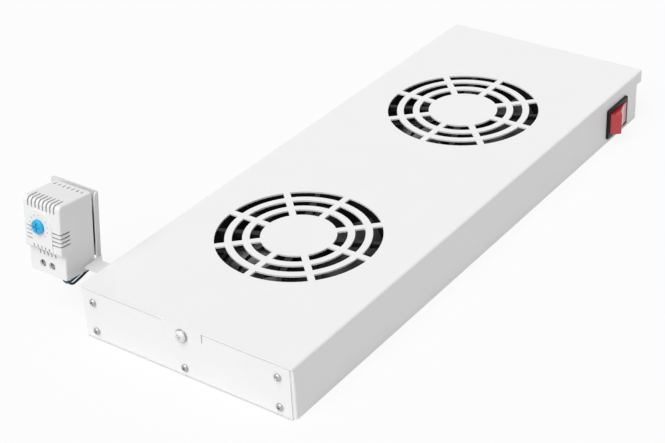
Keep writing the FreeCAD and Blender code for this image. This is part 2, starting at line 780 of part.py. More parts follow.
def rocker_button():
    low = -rocker_skirt
    side = math.sqrt(rocker_radius ** 2 - rocker_skirt ** 2)
    top = rocker_radius * math.cos(math.radians(rocker_half_angle))
    edge = rocker_radius * math.sin(math.radians(rocker_half_angle))
    outline = Part.Wire([
        Part.LineSegment(Vec(low, -side, 0), Vec(low, side, 0)).toShape(),
        Part.Arc(Vec(low, side, 0), polar(rocker_radius, 75), Vec(top, edge, 0)).toShape(),
        Part.Arc(Vec(top, edge, 0), Vec(top - rocker_dish, 0, 0), Vec(top, -edge, 0)).toShape(),
        Part.Arc(Vec(top, -edge, 0), polar(rocker_radius, -75), Vec(low, -side, 0)).toShape(),
    ])
    button = Part.Face(outline).extrude(Vec(0, 0, rocker_height))
    soft = [e for e in button.Edges if e.BoundBox.XMin > top - rocker_dish - 0.5]
    button = button.makeFillet(0.5, soft)
    pin = rod(0, 0, -rocker_pin_length, rocker_pin_radius, rocker_height + 2 * rocker_pin_length)
    button = join([button, pin])
    button.rotate(Vec(0, 0, 0), Z_AXIS, rocker_tilt)
    return moved(button, pivot_x, switch_y, switch_z - rocker_height / 2)


def switch_terminals():
    back = half_w - switch_body_depth
    blades = []
    for sy in (-1, 1):
        for sz in (-1, 1):
            y = switch_y + sy * tab_blade_pitch_y / 2
            z = switch_z + sz * tab_blade_pitch_z / 2
            blade = block(back - tab_blade_length, back, y - tab_blade_thickness / 2,
                          y + tab_blade_thickness / 2, z - tab_blade_width / 2,
                          z + tab_blade_width / 2)
            hole = rod(back - tab_blade_length * 0.6, y - 1, z, 0.8, 2, Y_AXIS)
            blades.append(blade.cut(hole))
    return blades


# ---------------------------------------------------------------- thermostat
def thermo_profile(inset, x0, x1):
    """Side outline of the housing, pulled in by inset, from x0 to x1."""
    front = thermo_front_y + inset
    lower = thermo_front_y + thermo_step + inset
    bottom = thermo_bottom_z + inset
    top = thermo_top_z - inset
    low = thermo_bottom_z + thermo_step_low
    high = thermo_bottom_z + thermo_step_high
    mid_z = (low + high) / 2
    edge = max(thermo_edge - inset, 0.8)
    bow = edge * (1 - math.sqrt(0.5))
    step = (lower - front) / 2
    rise = (high - low) / 2
    turn_radius = (step ** 2 + rise ** 2) / (2 * step)
    turn = math.asin(rise / turn_radius) / 2
    turn_in = turn_radius * (1 - math.cos(turn))
    turn_up = turn_radius * math.sin(turn)
    v = [Vec(x0, thermo_back_y, bottom), Vec(x0, lower, bottom), Vec(x0, lower, low),
         Vec(x0, front + step, mid_z), Vec(x0, front, high), Vec(x0, front, top - edge),
         Vec(x0, front + edge, top), Vec(x0, thermo_back_y, top)]
    turn_low = Vec(x0, lower - turn_in, low + turn_up)
    turn_high = Vec(x0, front + turn_in, high - turn_up)
    outline = Part.Wire([
        Part.LineSegment(v[0], v[1]).toShape(),
        Part.LineSegment(v[1], v[2]).toShape(),
        Part.Arc(v[2], turn_low, v[3]).toShape(),
        Part.Arc(v[3], turn_high, v[4]).toShape(),
        Part.LineSegment(v[4], v[5]).toShape(),
        Part.Arc(v[5], Vec(x0, front + bow, top - bow), v[6]).toShape(),
        Part.LineSegment(v[6], v[7]).toShape(),
        Part.LineSegment(v[7], v[0]).toShape(),
    ])
    return Part.Face(outline).extrude(Vec(x1 - x0, 0, 0))


def thermostat_vents():
    cuts = []
    half = vent_width / 2
    middle = (thermo_left + thermo_right) / 2
    top = thermo_top_z
    front = thermo_front_y
    for i in range(top_vents):
        x = middle + (i - (top_vents - 1) / 2) * top_vent_pitch
        cuts.append(block(x - half, x + half, front + thermo_edge * 0.3, front + top_vent_back,
                          top - thermo_edge, top + 1))
        cuts.append(block(x - half, x + half, front - 1, front + thermo_edge,
                          top - top_vent_front, top - thermo_edge * 0.3))
    for i in range(rear_vents):
        x = middle + (i - (rear_vents - 1) / 2) * rear_vent_pitch
        end = thermo_back_y - rear_vent_inset
        cuts.append(block(x - half, x + half, end - rear_vent_length, end, top - thermo_edge, top + 1))
    for i in range(side_vents):
        z = thermo_bottom_z + side_vent_low + i * side_vent_pitch
        for side, sign in ((thermo_left, 1), (thermo_right, -1)):
            x0, x1 = sorted((side - sign, side + sign * side_vent_front))
            cuts.append(block(x0, x1, front - 1, front + thermo_wall + 0.4, z - half, z + half))
            x0, x1 = sorted((side - sign, side + sign * (thermo_wall + 0.4)))
            cuts.append(block(x0, x1, front - 1, front + side_vent_back, z - half, z + half))
    mid_z = thermo_bottom_z + (thermo_step_low + thermo_step_high) / 2
    for i in range(slope_vents):
        x = middle + (i - (slope_vents - 1) / 2) * slope_vent_pitch
        slot = block(-half, half, front - 1, front + thermo_step + thermo_wall + 0.6,
                     -slope_vent_length / 2, slope_vent_length / 2)
        slot.rotate(Vec(0, 0, 0), Y_AXIS, -12)
        cuts.append(moved(slot, x, 0, mid_z))
    return cuts


def terminal_places():
    return [(thermo_left + terminal_from_left + i * terminal_pitch,
             thermo_bottom_z + terminal_height) for i in range(2)]


def thermostat_cover():
    shell = thermo_profile(0, thermo_left, thermo_right)
    front = edges_along(shell, Z_AXIS, lambda p: p.y < thermo_front_y + thermo_step + 0.1)
    shell = shell.makeFillet(thermo_side_edge, front)
    pad_y = thermo_front_y - pad_thickness
    arch = Part.Wire([
        Part.Arc(Vec(dial_x - pad_radius, pad_y, dial_z), Vec(dial_x, pad_y, dial_z + pad_radius),
                 Vec(dial_x + pad_radius, pad_y, dial_z)).toShape(),
        Part.makePolygon([Vec(dial_x + pad_radius, pad_y, dial_z),
                          Vec(dial_x + pad_radius, pad_y, dial_z - pad_drop),
                          Vec(dial_x - pad_radius, pad_y, dial_z - pad_drop),
                          Vec(dial_x - pad_radius, pad_y, dial_z)]),
    ])
    pad = Part.Face(arch).extrude(Vec(0, pad_thickness + 0.2, 0))
    shell = join([shell, pad])
    hollow = thermo_profile(thermo_wall, thermo_left + thermo_wall, thermo_right - thermo_wall)
    behind = block(thermo_left + thermo_wall, thermo_right - thermo_wall, thermo_back_y - 1,
                   thermo_back_y + 1, thermo_bottom_z + thermo_wall, thermo_top_z - thermo_wall)
    shell = shell.cut(hollow.fuse(behind))
    cuts = thermostat_vents()
    cuts.append(rod(dial_x, thermo_front_y - 2, dial_z, dial_shaft_radius + dial_clearance, 6, Y_AXIS))
    for x, z in terminal_places():
        cuts.append(rod(x, thermo_front_y + thermo_step - 2, z, terminal_hole_radius, 6, Y_AXIS))
    for x, y in wire_exits():
        half = wire_slot_width / 2
        cuts.append(rod(x, y, thermo_bottom_z - 1, half, thermo_wall + 2))
    return shell.cut(Part.Compound(cuts))


def thermostat_base():
    inset = thermo_wall + thermo_fit
    slab = block(thermo_left + inset, thermo_right - inset, foot_front_y, foot_back_y,
                 thermo_bottom_z + inset, thermo_top_z - inset)
    middle = (thermo_left + thermo_right) / 2
    x0 = middle - foot_hook_width / 2
    brim_back = rail_front_y + rail_sheet + rail_play
    lip_back = brim_back + foot_hook * 0.8
    hooks = []
    for sign in (-1, 1):
        edge = rail_z + sign * (rail_width / 2 + rail_play)
        outer = edge + sign * foot_hook
        catch = edge - sign * foot_hook * 0.8
        hooks.append(prism([(x0, foot_back_y - 0.5, edge), (x0, foot_back_y - 0.5, outer),
                            (x0, lip_back - 0.6, outer), (x0, lip_back, edge),
                            (x0, lip_back - 0.3, catch), (x0, brim_back, catch),
                            (x0, brim_back, edge)], Vec(foot_hook_width, 0, 0)))
    return join([slab] + hooks)


def thermostat_dial():
    back = thermo_front_y - pad_thickness - dial_lift
    disc = rod(dial_x, back - dial_thickness, dial_z, dial_radius, dial_thickness, Y_AXIS)
    rim = [e for e in disc.Edges if e.BoundBox.YMax < back - dial_thickness + 0.01]
    disc = disc.makeChamfer(0.4, rim)
    face = back - dial_thickness
    for long_x in (True, False):
        reach_x = dial_radius * 0.62 if long_x else dial_slot_width / 2
        reach_z = dial_slot_width / 2 if long_x else dial_radius * 0.62
        disc = disc.cut(block(dial_x - reach_x, dial_x + reach_x, face - 1, face + dial_slot_depth,
                              dial_z - reach_z, dial_z + reach_z))
    shaft = rod(dial_x, back - 0.2, dial_z, dial_shaft_radius, dial_shaft_length, Y_AXIS)
    inner = thermo_front_y + thermo_wall + dial_lift
    collar = rod(dial_x, inner, dial_z, dial_collar_radius, dial_collar_length, Y_AXIS)
    return join([disc, shaft, collar])


def thermostat_terminal_block():
    places = terminal_places()
    middle = (places[0][0] + places[1][0]) / 2
    front = thermo_front_y + thermo_step + thermo_wall + thermo_fit + terminal_head_length
    low = thermo_bottom_z + thermo_wall + thermo_fit
    shape = block(middle - terminal_block_width / 2, middle + terminal_block_width / 2,
                  front, foot_front_y, low, low + terminal_block_height)
    wall = block(middle - 0.6, middle + 0.6, front - terminal_head_length, front + 1,
                 low, low + terminal_block_height)
    shape = join([shape, wall])
    for x, z in places:
        shape = shape.cut(rod(x, front - 1, z, terminal_shank_radius + 0.02, 7, Y_AXIS))
    for x, y in wire_exits():
        shape = shape.cut(rod(x, y, low - 1, wire_diameter / 2 + 0.1, 3.4))
    return shape


def thermostat_terminal_screws():
    front = thermo_front_y + thermo_step + thermo_wall + thermo_fit + terminal_head_length
    screws = []
    for x, z in terminal_places():
        head = rod(0, 0, 0, terminal_head_radius, terminal_head_length)
        slot = block(-3, 3, -0.4, 0.4, terminal_head_length - 0.8, terminal_head_length + 1)
        screw = head.cut(slot).fuse(rod(0, 0, -5, terminal_shank_radius, 5)).removeSplitter()
        screws.append(stand(screw, Vec(x, front, z), Vec(0, -1, 0)))
    return screws


def bimetal_strip():
    """Bent strip standing on the terminal block, its free end under the dial's shaft."""
    low = thermo_bottom_z + thermo_wall + thermo_fit + terminal_block_height
    foot_y = foot_front_y - 1.2
    bend_y = foot_front_y - 4.5
    bend_z = low + strip_rise
    tip_y = thermo_front_y + dial_shaft_length + 2.0
    x0 = dial_x - 2.5
    t = 0.6
    return prism([(x0, foot_y, low), (x0, foot_y, low + 3), (x0, bend_y, bend_z),
                  (x0, tip_y, dial_z + 3), (x0, tip_y - t, dial_z + 3), (x0, bend_y - t, bend_z),
                  (x0, foot_y - t, low + 3), (x0, foot_y - t, low)], Vec(5, 0, 0))


def din_rail():
    web = rail_web / 2
    brim = rail_width / 2
    t = rail_sheet
    back = plate_front_y
    front = rail_front_y
    inset = thermo_wall + thermo_fit
    x0 = thermo_left + inset
    face = [(front, brim), (front, web - t), (back - t, web - t)]
    face += [(y, -z) for y, z in reversed(face)]
    rear = [(front + t, -brim), (front + t, -web), (back, -web)]
    rear += [(y, -z) for y, z in reversed(rear)]
    rail = prism([(x0, y, rail_z + z) for y, z in face + rear], Vec(thermo_width - 2 * inset, 0, 0))
    for x in rivet_places():
        rail = rail.cut(rod(x, back - t - 1, rail_z, rivet_radius, t + 2, Y_AXIS))
    return rail


def rivet_places():
    middle = (thermo_left + thermo_right) / 2
    return [middle - rivet_pitch / 2, middle + rivet_pitch / 2]


def rail_rivets():
    front = plate_front_y - rail_sheet
    rivets = []
    for x in rivet_places():
        shank = rod(x, front, rail_z, rivet_radius, rail_sheet + sheet, Y_AXIS)
        heads = [Part.makeCone(rivet_head_radius * 0.6, rivet_head_radius, rivet_head_height,
                               Vec(x, front - rivet_head_height, rail_z), Y_AXIS),
                 Part.makeCone(rivet_head_radius, rivet_head_radius * 0.6, rivet_head_height,
                               Vec(x, plate_back_y, rail_z), Y_AXIS)]
        rivets.append(join([shank] + heads))
    return rivets


def bracket_screw_places():
    y = (tongue_near + tongue_far) / 2
    low = bracket_low + sheet - wall_leg_drop + bracket_screw_low
    return [(y, low), (y, low + bracket_screw_pitch)]


def mounting_bracket():
    """Wall leg, tongue, upright flange and back plate, folded from one blank."""
    t = sheet
    r = bend_radius
    top = bracket_low + t
    leg_out = -half_w - t
    leg_low = top - wall_leg_drop
    fold = r * (1 - math.sqrt(0.5))
    inner = r - t
    fold_in = t + inner * (1 - math.sqrt(0.5))
    y0 = tongue_near
    outline = Part.Wire([
        Part.LineSegment(Vec(-half_w, y0, leg_low), Vec(-half_w, y0, top - r)).toShape(),
        Part.Arc(Vec(-half_w, y0, top - r), Vec(-half_w - fold, y0, top - fold),
                 Vec(-half_w - r, y0, top)).toShape(),
        Part.LineSegment(Vec(-half_w - r, y0, top), Vec(bracket_x - t, y0, top)).toShape(),
        Part.LineSegment(Vec(bracket_x - t, y0, top), Vec(bracket_x - t, y0, bracket_low)).toShape(),
        Part.LineSegment(Vec(bracket_x - t, y0, bracket_low), Vec(-half_w - r, y0, bracket_low)).toShape(),
        Part.Arc(Vec(-half_w - r, y0, bracket_low), Vec(-half_w - fold_in, y0, top - fold_in),
                 Vec(leg_out, y0, top - r)).toShape(),
        Part.LineSegment(Vec(leg_out, y0, top - r), Vec(leg_out, y0, leg_low)).toShape(),
        Part.LineSegment(Vec(leg_out, y0, leg_low), Vec(-half_w, y0, leg_low)).toShape(),
    ])
    arm = Part.Face(outline).extrude(Vec(0, tongue_far - tongue_near, 0))
    keep = flange_front_y
    arm = arm.cut(block(bracket_x - t - 1, bracket_x, tongue_near - 1, keep, bracket_low - 1, top + 1))
    gusset = prism([(bracket_x - t, tongue_far - 1, bracket_low),
                    (bracket_x + 6, tongue_far - 1, bracket_low),
                    (bracket_x, plate_back_y, bracket_low), (bracket_x - t, plate_back_y, bracket_low)],
                   Vec(0, 0, t))
    back = plate_back_y
    turn = Vec(bracket_x - fold, back - fold, bracket_low)
    turn_in = Vec(bracket_x - fold_in, back - fold_in, bracket_low)
    outline = Part.Wire([
        Part.makePolygon([Vec(bracket_x - r, back, bracket_low), Vec(bracket_left, back, bracket_low),
                          Vec(bracket_left, back - t, bracket_low),
                          Vec(bracket_x - r, back - t, bracket_low)]),
        Part.Arc(Vec(bracket_x - r, back - t, bracket_low), turn_in,
                 Vec(bracket_x - t, back - r, bracket_low)).toShape(),
        Part.makePolygon([Vec(bracket_x - t, back - r, bracket_low), Vec(bracket_x - t, keep, bracket_low),
                          Vec(bracket_x, keep, bracket_low), Vec(bracket_x, back - r, bracket_low)]),
        Part.Arc(Vec(bracket_x, back - r, bracket_low), turn,
                 Vec(bracket_x - r, back, bracket_low)).toShape(),
    ])
    carrier = Part.Face(outline).extrude(Vec(0, 0, bracket_top - bracket_low))
    corners = edges_along(carrier, X_AXIS, lambda p: p.z > bracket_top - 0.1 and p.y < keep + 0.1)
    corners += edges_along(carrier, Y_AXIS, lambda p: p.x < bracket_left + 0.1)
    carrier = carrier.makeFillet(bracket_corner, corners)
    carrier = carrier.cut(Part.Compound([rod(x, plate_front_y - 1, rail_z, rivet_radius, sheet + 2, Y_AXIS)
                                         for x in rivet_places()]))
    bracket = join([arm, gusset, leaned(carrier)])
    cuts = [rod(leg_out - 1, y, z, screw_radius + screw_clearance, sheet + 2, X_AXIS)
            for y, z in bracket_screw_places()]
    return bracket.cut(Part.Compound(cuts))


def bracket_fixing():
    screw = pan_screw(screw_head_radius, screw_head_height, screw_radius, screw_length + sheet)
    nut = hex_nut(m3_nut_flats, m3_nut_height, screw_radius + screw_clearance)
    screws = []
    nuts = []
    for y, z in bracket_screw_places():
        screws.append(stand(screw, Vec(-half_w - sheet, y, z), Vec(-1, 0, 0)))
        nuts.append(stand(nut, Vec(-half_w + sheet, y, z), X_AXIS))
    return screws, nuts


# ---------------------------------------------------------------- wiring
def grommet(centre, axis, hole, bore, flange_radius):
    """Grommet through one sheet; centre lies on the sheet's outer face."""
    inward = axis * -1
    start = centre - inward * grommet_flange
    outer = Part.makeCylinder(flange_radius, grommet_flange, start, inward)
    neck = Part.makeCylinder(hole, sheet, centre, inward)
    inner = Part.makeCylinder(flange_radius, grommet_flange, centre + inward * sheet, inward)
    body = join([outer, neck, inner])
    through = sheet + 2 * grommet_flange + 2
    return body.cut(Part.makeCylinder(bore, through, start - inward, inward))


def block_way_places():
    pitch = block_length / block_ways
    return [block_y + (i - (block_ways - 1) / 2) * pitch for i in range(block_ways)]


def terminal_block():
    x0 = block_x - block_width / 2
    y0 = block_y - block_length / 2
    top = sheet + block_height
    body = block(x0, x0 + block_width, y0, y0 + block_length, sheet, top)
    body = body.makeChamfer(2.5, edges_along(body, Y_AXIS, lambda p: p.z > sheet + 1))
    pitch = block_length / block_ways
    places = block_way_places()
    cuts = [rod(block_x, y, top - block_way_depth, block_screw_radius + 0.3, block_way_depth + 1)
            for y in places]
    for y in places[1:]:
        middle = y - pitch / 2
        cuts.append(block(x0 - 1, x0 + block_width + 1, middle - 0.5, middle + 0.5, top - 2, top + 1))
    return body.cut(Part.Compound(cuts))


def terminal_block_screws():
    low = sheet + block_height - 4
    return [rod(block_x, y, low, block_screw_radius, 2.4) for y in block_way_places()]


def wire_exits():
    """Where the two thermostat wires leave the housing's underside."""
    return [(thermo_right - 6.8, thermo_front_y + 9.0), (thermo_right - 10.8, thermo_front_y + 9.0)]


def thermostat_wire_routes():
    """Out of the housing's underside, back under it, through the wall and to the block."""
    block_end = block_y - block_length / 2
    top = thermo_bottom_z + thermo_wall + thermo_fit
    starts = [leaned(Part.Vertex(x, y, top)).Point for x, y in wire_exits()]
    black_x, black_y, black_z = starts[0]
    blue_x, blue_y, blue_z = starts[1]
    inside = block_x + 1.6
    under = thermo_front_y + 22.6
    black = [(black_x, black_y, black_z), (black_x, black_y + 1.0, 23.0),
             (black_x - 0.4, under, 24.2), (black_x - 1.0, under + 9.0, 26.2),
             (black_x + 2.4, grommet_y, grommet_z + 1.3),
             (inside - 2.1, grommet_y, grommet_z + 1.3), (inside, grommet_y + 7, 8.2),
             (inside, block_end, 8.2)]
    inside = block_x - 2.4
    blue = [(blue_x, blue_y, blue_z), (blue_x, blue_y + 1.0, 22.6),
            (blue_x - 0.4, under, 23.4), (blue_x - 1.0, under + 9.0, 24.4),
            (blue_x + 2.4, grommet_y, grommet_z - 1.4),
            (inside - 2.6, grommet_y, grommet_z - 1.4), (inside, grommet_y + 7, 8.2),
            (inside, block_end, 8.2)]
    return black, blue


# ---------------------------------------------------------------- write the pieces
os.makedirs("parts", exist_ok=True)

save("top_cover", [top_cover()])
save("base_plate", [base_plate()])
save("near_end_panel", [end_panel(-half_l)])
save("far_end_panel", [end_panel(half_l)])
save("near_panel_screws", panel_screws(-half_l))
save("far_panel_screws", panel_screws(half_l))
tab_screw, tab_washer, tab_nut = tab_fixing()
save("tab_screw", [tab_screw])
save("tab_washer", [tab_washer])
save("tab_nut", [tab_nut])
save("fan_studs", fan_studs())
save("fan_nuts", fan_nuts())

fan_pieces = {
    "fan_frame": [fan_frame()],
    "fan_impeller": [impeller()],
    "fan_shaft": [fan_shaft()],
    "fan_bearings": fan_bearings(),
    "fan_magnet_ring": [magnet_ring()],
    "fan_stator": [stator()],
    "fan_circuit_board": [circuit_board()],
    "finger_guard": [finger_guard()],
}
for place, y in fan_y:
    for name, shapes in fan_pieces.items():
        save(place + "_" + name, [moved(shape, 0, y, fan_bottom) for shape in shapes])

save("switch_body", [switch_body()])
save("rocker_button", [rocker_button()])
save("switch_terminals", switch_terminals())

save("thermostat_cover", [leaned(thermostat_cover())])
save("thermostat_base", [leaned(thermostat_base())])
save("thermostat_dial", [leaned(thermostat_dial())])
save("thermostat_terminal_block", [leaned(thermostat_terminal_block())])
save("thermostat_terminal_screws", [leaned(screw) for screw in thermostat_terminal_screws()])
save("bimetal_strip", [leaned(bimetal_strip())])
save("din_rail", [leaned(din_rail())])
save("rail_rivets", [leaned(rivet) for rivet in rail_rivets()])
save("mounting_bracket", [mounting_bracket()])
bracket_screws, bracket_nuts = bracket_fixing()
save("bracket_screws", bracket_screws)
save("bracket_nuts", bracket_nuts)

save("wall_grommet", [grommet(Vec(-half_w, grommet_y, grommet_z), Vec(-1, 0, 0),
                              grommet_hole_radius, grommet_bore_radius, grommet_flange_radius)])
save("cord_grommet", [grommet(Vec(cord_grommet_x, half_l, cord_grommet_z), Y_AXIS,
                              cord_grommet_hole_radius, cord_grommet_bore_radius,
                              cord_grommet_flange_radius)])
save("terminal_block", [terminal_block()])
save("terminal_block_screws", terminal_block_screws())
black_route, blue_route = thermostat_wire_routes()
save("thermostat_wire_black", [cord("thermostat_wire_black", black_route, wire_diameter)])
save("thermostat_wire_blue", [cord("thermostat_wire_blue", blue_route, wire_diameter)])
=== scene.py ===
import json
import math

import bpy
import bmesh
from mathutils import Matrix, Quaternion, Vector


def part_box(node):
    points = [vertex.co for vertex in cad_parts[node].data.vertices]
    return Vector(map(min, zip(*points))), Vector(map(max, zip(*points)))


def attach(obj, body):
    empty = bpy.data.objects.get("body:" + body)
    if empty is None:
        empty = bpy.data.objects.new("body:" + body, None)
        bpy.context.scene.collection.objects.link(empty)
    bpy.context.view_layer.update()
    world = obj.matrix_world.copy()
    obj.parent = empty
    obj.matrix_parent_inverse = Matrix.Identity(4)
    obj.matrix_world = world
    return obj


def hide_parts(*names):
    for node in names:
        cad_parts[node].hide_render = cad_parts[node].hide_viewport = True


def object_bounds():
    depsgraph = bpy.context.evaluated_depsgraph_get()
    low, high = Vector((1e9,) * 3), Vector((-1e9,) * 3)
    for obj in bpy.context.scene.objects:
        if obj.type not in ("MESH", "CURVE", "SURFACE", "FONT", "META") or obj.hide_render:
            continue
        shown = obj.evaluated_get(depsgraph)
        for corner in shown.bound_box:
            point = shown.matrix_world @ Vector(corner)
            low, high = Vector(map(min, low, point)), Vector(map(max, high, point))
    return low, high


# Looks for a two-fan rack tray: white powder coat, black fans behind round grilles,
# a red rocker switch and a pale thermostat with a blue dial.
# Everything is in metres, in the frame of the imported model: the tray lies along Y, its near
# end at -Y, and the thermostat stands at -X.

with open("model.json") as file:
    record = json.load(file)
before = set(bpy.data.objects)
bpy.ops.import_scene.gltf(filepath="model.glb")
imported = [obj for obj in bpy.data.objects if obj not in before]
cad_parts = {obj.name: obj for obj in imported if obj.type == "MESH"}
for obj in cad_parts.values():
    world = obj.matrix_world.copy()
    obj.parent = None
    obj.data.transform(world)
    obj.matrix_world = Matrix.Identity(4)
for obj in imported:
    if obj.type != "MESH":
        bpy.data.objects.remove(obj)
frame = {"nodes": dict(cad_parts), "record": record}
cad_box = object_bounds()
MM = 0.001

# ---------------------------------------------------------------- camera, lights, floor
CAMERA_PLACE = Vector((0.5665, -0.8160, 0.6051))
CAMERA_AIM = Vector((-0.0091, -0.0546, 0.0200))
CAMERA_ROLL = math.radians(-3.07)
CAMERA_SENSOR = 36.0        # mm wide
CAMERA_LENS = 86.46         # mm
CAMERA_REACH = (0.01, 20.0)     # nearest and farthest that it sees
SOFT_LIGHT_FROM = Vector((0.012, -0.563, 0.826))
SOFT_LIGHT_STRENGTH = 2.50
SOFT_LIGHT_ANGLE = 50.0     # degrees across
AMBIENT = 0.35              # strength of the world as light
WHITE = (1.0, 1.0, 1.0, 1.0)
FLOOR_HALF = 4.0            # from its middle to its edges
FLOOR_DROP = 0.0004         # from the tray's underside to the floor
FLOOR_COLOUR = (0.78, 0.78, 0.78, 1.0)
FLOOR_GLOW = 0.88           # share of plain white in what the camera sees of the floor
PAINTED_SHADOW_RISE = 0.0002         # from the floor to the sheet of painted shadow under the tray
PAINTED_SHADOW_REACH = 0.001         # how far that sheet shows past the near end, as a painted contact-shadow line
PAINTED_SHADOW_ROUGHNESS = 0.9

# ---------------------------------------------------------------- sizes of the details
SCREW_HEAD_RADIUS = 2.6 * MM
SCREW_HEAD_HEIGHT = 1.9 * MM
SCREW_SHANK_RADIUS = 1.45 * MM
SCREW_LENGTH = 6.0 * MM
THREAD_PITCH = 0.5 * MM
CORNER_SCREW_LOW = 6.6 * MM     # height of the end panels' two low corner screws
TAB_HEAD_RADIUS = 4.0 * MM
TAB_HEAD_HEIGHT = 2.6 * MM
TAB_SHANK_RADIUS = 2.0 * MM
TAB_SCREW_LENGTH = 10.0 * MM
SHEET = 1.2 * MM
FIRST_TURN = 23             # degrees that the first screw's cross is turned by
NEXT_TURN = 41              # and each one after it, over the one before
LATHE_STEPS = 40
CROWN_STEPS = 8             # of a screw head's dome, from axis to rim
SHARP_EDGE = 35.0           # degrees at which an edge is no longer shaded smooth
DIAL_PLACE = Vector((-119.3, -227.9, 66.5)) * MM     # on the pad, before the housing leans
LEAN_ABOUT = Vector((0.0, -191.5, 36.0)) * MM
LEAN = math.radians(-6.5)   # of the thermostat, about X
SCALE_RADIUS = 8.0 * MM
SCALE_DOT = 0.55 * MM
SCALE_DOT_DEPTH = 0.06 * MM
SCALE_DOT_OUT = 0.02 * MM   # from the pad's face to the middle of a dot
SCALE_STEP = 27.0           # degrees between two dots of the dial's scale
SCALE_COLOURS = {"scale_grey": (0.45, 0.45, 0.46), "scale_rose": (0.80, 0.42, 0.45),
                 "scale_orange": (0.90, 0.48, 0.10), "scale_yellow": (0.86, 0.76, 0.35)}
SCALE_ORDER = ["scale_rose", "scale_rose", "scale_grey", "scale_grey", "scale_grey",
               "scale_orange", "scale_yellow", "scale_rose", "scale_rose", "scale_grey",
               "scale_rose"]
WIRE = 1.8 * MM

# ---------------------------------------------------------------- what noise gives
NOISE_LOW = 0.3             # most of a noise lies between these two
NOISE_HIGH = 0.7
GLOSS_WAVER = 0.1           # share of the roughness, both ways


# ---------------------------------------------------------------- material helpers
def new_material(name):
    """A material and the one shader in it."""
    material = bpy.data.materials.new(name)
    material.use_nodes = True
    nodes = material.node_tree.nodes
    nodes.clear()
    output = nodes.new("ShaderNodeOutputMaterial")
    shader = nodes.new("ShaderNodeBsdfPrincipled")
    material.node_tree.links.new(shader.outputs["BSDF"], output.inputs["Surface"])
    return material, shader


def add_noise(material, size, detail, stretch=(1.0, 1.0, 1.0)):
    """Noise over the object's own coordinates; size is one feature's width in metres."""
    nodes = material.node_tree.nodes
    links = material.node_tree.links
    place = nodes.new("ShaderNodeTexCoord")
    mapping = nodes.new("ShaderNodeMapping")
    mapping.inputs["Scale"].default_value = stretch
    noise = nodes.new("ShaderNodeTexNoise")
    noise.inputs["Scale"].default_value = 1.0 / size
    noise.inputs["Detail"].default_value = detail
    links.new(place.outputs["Object"], mapping.inputs["Vector"])
    links.new(mapping.outputs["Vector"], noise.inputs["Vector"])
    return noise.outputs["Fac"]


def spread(material, value, low, high):
    """Maps what a noise gives onto low to high."""
    ranged = material.node_tree.nodes.new("ShaderNodeMapRange")
    ranged.inputs["From Min"].default_value = NOISE_LOW
    ranged.inputs["From Max"].default_value = NOISE_HIGH
    ranged.inputs["To Min"].default_value = low
    ranged.inputs["To Max"].default_value = high
    material.node_tree.links.new(value, ranged.inputs["Value"])
    return ranged.outputs["Result"]


def tint(material, shader, value, colour, darker):
    """Base colour that wavers between colour and a darker shade of it."""
    ramp = material.node_tree.nodes.new("ShaderNodeValToRGB")
    low, high = ramp.color_ramp.elements
    low.position = NOISE_LOW
    low.color = [channel * darker for channel in colour] + [1.0]
    high.position = NOISE_HIGH
    high.color = list(colour) + [1.0]
    material.node_tree.links.new(value, ramp.inputs["Fac"])
    material.node_tree.links.new(ramp.outputs["Color"], shader.inputs["Base Color"])


def add_bump(material, shader, value, height):
    bump = material.node_tree.nodes.new("ShaderNodeBump")
    bump.inputs["Strength"].default_value = 1.0
    bump.inputs["Distance"].default_value = height
    material.node_tree.links.new(value, bump.inputs["Height"])
    material.node_tree.links.new(bump.outputs["Normal"], shader.inputs["Normal"])


def finish_material(name, colour, roughness, grain, height, metallic=0.0, patch=0.03, darker=0.97,
                    stretch=(1.0, 1.0, 1.0), coat=0.0, shine=0.5):
    """A surface with a fine grain, a waver in its gloss and a slight waver in its colour.

    grain and patch are the widths of a fine and a broad feature, height is how far the grain
    stands out, darker is the darkest shade as a share of the colour, and stretch thins the
    grain along an axis.
    """
    material, shader = new_material(name)
    shader.inputs["Metallic"].default_value = metallic
    shader.inputs["Coat Weight"].default_value = coat
    shader.inputs["Specular IOR Level"].default_value = shine
    broad = add_noise(material, patch, 2.0)
    fine = add_noise(material, grain, 3.0, stretch)
    tint(material, shader, broad, colour, darker)
    gloss = spread(material, fine, roughness * (1 - GLOSS_WAVER), roughness * (1 + GLOSS_WAVER))
    material.node_tree.links.new(gloss, shader.inputs["Roughness"])
    add_bump(material, shader, fine, height)
    return material


